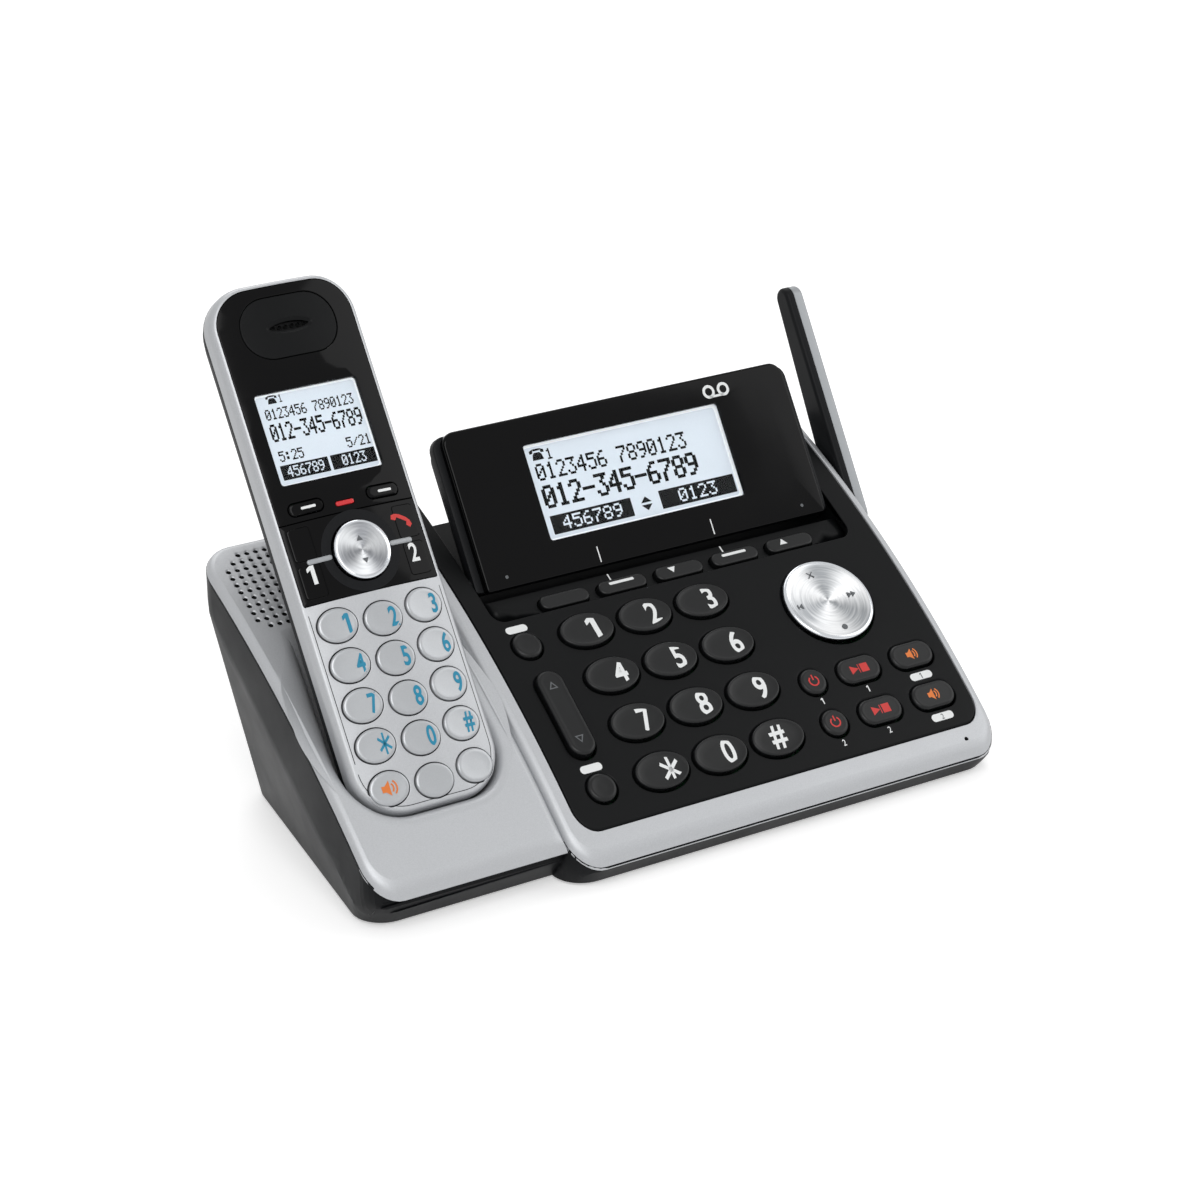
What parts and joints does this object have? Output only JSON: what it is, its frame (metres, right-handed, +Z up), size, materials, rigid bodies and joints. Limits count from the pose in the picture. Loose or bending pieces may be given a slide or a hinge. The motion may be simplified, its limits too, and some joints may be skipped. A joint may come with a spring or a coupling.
{
  "type": "answering_machine",
  "caption": "Cordless telephone base in silver and black with an answering machine, a tilting display, a folding antenna and a handset in its charging cradle.",
  "frame": {"origin": "on the table, under the middle of the whole", "axes": "+X to the right across cradle and console, +Y to the back, +Z up"},
  "size_m": [0.227, 0.1296, 0.163],
  "materials": {
    "charcoal_shell": "fine-textured charcoal",
    "silver_shell": "satin silver lacquer",
    "panel_black": "satin black",
    "gloss_black": "polished black",
    "key_black": "satin-gloss black",
    "spun_silver": "spun, with fine rings",
    "key_silver": "silver lacquer under clear coat",
    "board_green": "solder mask",
    "bright_steel": "plated",
    "contact_brass": "plated springs",
    "foot_rubber": "soft grey-black",
    "speaker_black": "paper cone and basket",
    "lens_clear": "clear window",
    "lcd_grey": "cool grey-blue screen",
    "cell_green": "shrink sleeve",
    "lamp_red": "clear red lamp"
  },
  "bodies": {
    "base": {"base_bottom": "charcoal_shell", "cradle_cover": "silver_shell", "console_frame": "silver_shell", "key_panel": "panel_black", "main_board": "board_green", "base_speaker": "speaker_black", "charge_contacts": "contact_brass", "jack_block": "charcoal_shell", "rubber_feet": "foot_rubber", "case_screws": "bright_steel"},
    "display": {"display_back": "charcoal_shell", "display_panel": "gloss_black", "display_lcd": "lcd_grey", "display_window": "lens_clear", "display_pivots": "bright_steel"},
    "antenna": {"antenna_front": "charcoal_shell", "antenna_back": "silver_shell", "antenna_pivot": "bright_steel"},
    "handset": {"handset_back": "charcoal_shell", "handset_front": "silver_shell", "handset_faceplate": "gloss_black", "handset_lcd": "lcd_grey", "handset_window": "lens_clear", "earpiece_pad": "gloss_black", "handset_board": "board_green", "battery_pack": "cell_green", "battery_door": "charcoal_shell", "charge_light": "lamp_red"},
    "key_1": {"key_1": "key_black"},
    "key_2": {"key_2": "key_black"},
    "key_3": {"key_3": "key_black"},
    "key_4": {"key_4": "key_black"},
    "key_5": {"key_5": "key_black"},
    "key_6": {"key_6": "key_black"},
    "key_7": {"key_7": "key_black"},
    "key_8": {"key_8": "key_black"},
    "key_9": {"key_9": "key_black"},
    "key_star": {"key_star": "key_black"},
    "key_0": {"key_0": "key_black"},
    "key_pound": {"key_pound": "key_black"},
    "cancel_key": {"cancel_key": "key_black"},
    "left_soft_key": {"left_soft_key": "key_black"},
    "down_key": {"down_key": "key_black"},
    "right_soft_key": {"right_soft_key": "key_black"},
    "up_key": {"up_key": "key_black"},
    "hold_key": {"hold_key": "key_black"},
    "flash_key": {"flash_key": "key_black"},
    "answer_key_1": {"answer_key_1": "gloss_black"},
    "mailbox_key_1": {"mailbox_key_1": "gloss_black"},
    "line_key_1": {"line_key_1": "gloss_black"},
    "answer_key_2": {"answer_key_2": "gloss_black"},
    "mailbox_key_2": {"mailbox_key_2": "gloss_black"},
    "line_key_2": {"line_key_2": "gloss_black"},
    "volume_rocker": {"volume_rocker": "key_black"},
    "four_way_dial": {"four_way_dial": "spun_silver"},
    "handset_dial_keys": {"handset_dial_keys": "key_silver"},
    "handset_function_keys": {"handset_function_keys": "key_silver"},
    "handset_soft_keys": {"handset_soft_keys": "gloss_black"},
    "handset_line_keys": {"handset_line_keys": "gloss_black"},
    "handset_nav_key": {"handset_nav_key": "spun_silver"}
  },
  "joints": [
    {"name": "key_1_press", "type": "slide", "parent": "base", "child": "key_1", "axis": [0, -0.521, 0.8536], "range_m": [-0.001, 0], "stiffness_N_per_m": 400},
    {"name": "key_2_press", "type": "slide", "parent": "base", "child": "key_2", "axis": [0, -0.521, 0.8536], "range_m": [-0.001, 0], "stiffness_N_per_m": 400},
    {"name": "key_3_press", "type": "slide", "parent": "base", "child": "key_3", "axis": [0, -0.521, 0.8536], "range_m": [-0.001, 0], "stiffness_N_per_m": 400},
    {"name": "key_4_press", "type": "slide", "parent": "base", "child": "key_4", "axis": [0, -0.5587, 0.8294], "range_m": [-0.001, 0], "stiffness_N_per_m": 400},
    {"name": "key_5_press", "type": "slide", "parent": "base", "child": "key_5", "axis": [0, -0.5587, 0.8294], "range_m": [-0.001, 0], "stiffness_N_per_m": 400},
    {"name": "key_6_press", "type": "slide", "parent": "base", "child": "key_6", "axis": [0, -0.5587, 0.8294], "range_m": [-0.001, 0], "stiffness_N_per_m": 400},
    {"name": "key_7_press", "type": "slide", "parent": "base", "child": "key_7", "axis": [0, -0.5953, 0.8035], "range_m": [-0.001, 0], "stiffness_N_per_m": 400},
    {"name": "key_8_press", "type": "slide", "parent": "base", "child": "key_8", "axis": [0, -0.5953, 0.8035], "range_m": [-0.001, 0], "stiffness_N_per_m": 400},
    {"name": "key_9_press", "type": "slide", "parent": "base", "child": "key_9", "axis": [0, -0.5953, 0.8035], "range_m": [-0.001, 0], "stiffness_N_per_m": 400},
    {"name": "key_star_press", "type": "slide", "parent": "base", "child": "key_star", "axis": [0, -0.6307, 0.776], "range_m": [-0.001, 0], "stiffness_N_per_m": 400},
    {"name": "key_0_press", "type": "slide", "parent": "base", "child": "key_0", "axis": [0, -0.6307, 0.776], "range_m": [-0.001, 0], "stiffness_N_per_m": 400},
    {"name": "key_pound_press", "type": "slide", "parent": "base", "child": "key_pound", "axis": [0, -0.6307, 0.776], "range_m": [-0.001, 0], "stiffness_N_per_m": 400},
    {"name": "cancel_key_press", "type": "slide", "parent": "base", "child": "cancel_key", "axis": [0, -0.4896, 0.872], "range_m": [-0.001, 0], "stiffness_N_per_m": 400},
    {"name": "left_soft_key_press", "type": "slide", "parent": "base", "child": "left_soft_key", "axis": [0, -0.4896, 0.872], "range_m": [-0.001, 0], "stiffness_N_per_m": 400},
    {"name": "down_key_press", "type": "slide", "parent": "base", "child": "down_key", "axis": [0, -0.4896, 0.872], "range_m": [-0.001, 0], "stiffness_N_per_m": 400},
    {"name": "right_soft_key_press", "type": "slide", "parent": "base", "child": "right_soft_key", "axis": [0, -0.4896, 0.872], "range_m": [-0.001, 0], "stiffness_N_per_m": 400},
    {"name": "up_key_press", "type": "slide", "parent": "base", "child": "up_key", "axis": [0, -0.4896, 0.872], "range_m": [-0.001, 0], "stiffness_N_per_m": 400},
    {"name": "hold_key_press", "type": "slide", "parent": "base", "child": "hold_key", "axis": [0, -0.521, 0.8536], "range_m": [-0.001, 0], "stiffness_N_per_m": 400},
    {"name": "flash_key_press", "type": "slide", "parent": "base", "child": "flash_key", "axis": [0, -0.6307, 0.776], "range_m": [-0.001, 0], "stiffness_N_per_m": 400},
    {"name": "answer_key_1_press", "type": "slide", "parent": "base", "child": "answer_key_1", "axis": [0, -0.6008, 0.7994], "range_m": [-0.001, 0], "stiffness_N_per_m": 400},
    {"name": "mailbox_key_1_press", "type": "slide", "parent": "base", "child": "mailbox_key_1", "axis": [0, -0.6008, 0.7994], "range_m": [-0.001, 0], "stiffness_N_per_m": 400},
    {"name": "line_key_1_press", "type": "slide", "parent": "base", "child": "line_key_1", "axis": [0, -0.6008, 0.7994], "range_m": [-0.001, 0], "stiffness_N_per_m": 400},
    {"name": "answer_key_2_press", "type": "slide", "parent": "base", "child": "answer_key_2", "axis": [0, -0.6314, 0.7755], "range_m": [-0.001, 0], "stiffness_N_per_m": 400},
    {"name": "mailbox_key_2_press", "type": "slide", "parent": "base", "child": "mailbox_key_2", "axis": [0, -0.6314, 0.7755], "range_m": [-0.001, 0], "stiffness_N_per_m": 400},
    {"name": "line_key_2_press", "type": "slide", "parent": "base", "child": "line_key_2", "axis": [0, -0.6314, 0.7755], "range_m": [-0.001, 0], "stiffness_N_per_m": 400},
    {"name": "volume_rock", "type": "hinge", "parent": "base", "child": "volume_rocker", "pos_m": [-0.032, -0.02548, 0.03657], "axis": [1, 0, 0], "range_deg": [-3, 3], "stiffness_Nm_per_rad": 0.1},
    {"name": "dial_rock", "type": "hinge", "parent": "base", "child": "four_way_dial", "pos_m": [0.073, -0.012, 0.04233], "axis": [1, 0, 0], "range_deg": [-3, 3], "stiffness_Nm_per_rad": 0.2},
    {"name": "display_tilt", "type": "hinge", "parent": "base", "child": "display", "pos_m": [0.0288, 0.02056, 0.06529], "axis": [1, 0, 0], "range_deg": [-28, 13]},
    {"name": "antenna_fold", "type": "hinge", "parent": "base", "child": "antenna", "pos_m": [0.1095, 0.0241, 0.0564], "axis": [1, 0, 0], "range_deg": [-60, 35]},
    {"name": "handset_lift", "type": "slide", "parent": "base", "child": "handset", "axis": [0, 0.575, 0.8181], "range_m": [0, 0.08]},
    {"name": "handset_dial_keys_press", "type": "slide", "parent": "handset", "child": "handset_dial_keys", "axis": [0, -0.8181, 0.575], "range_m": [-0.0006, 0], "stiffness_N_per_m": 400},
    {"name": "handset_function_keys_press", "type": "slide", "parent": "handset", "child": "handset_function_keys", "axis": [0, -0.8181, 0.575], "range_m": [-0.0006, 0], "stiffness_N_per_m": 400},
    {"name": "handset_soft_keys_press", "type": "slide", "parent": "handset", "child": "handset_soft_keys", "axis": [0, -0.8181, 0.575], "range_m": [-0.0006, 0], "stiffness_N_per_m": 400},
    {"name": "handset_line_keys_press", "type": "slide", "parent": "handset", "child": "handset_line_keys", "axis": [0, -0.8181, 0.575], "range_m": [-0.0006, 0], "stiffness_N_per_m": 400},
    {"name": "handset_nav_key_press", "type": "slide", "parent": "handset", "child": "handset_nav_key", "axis": [0, -0.8181, 0.575], "range_m": [-0.0006, 0], "stiffness_N_per_m": 400}
  ]
}
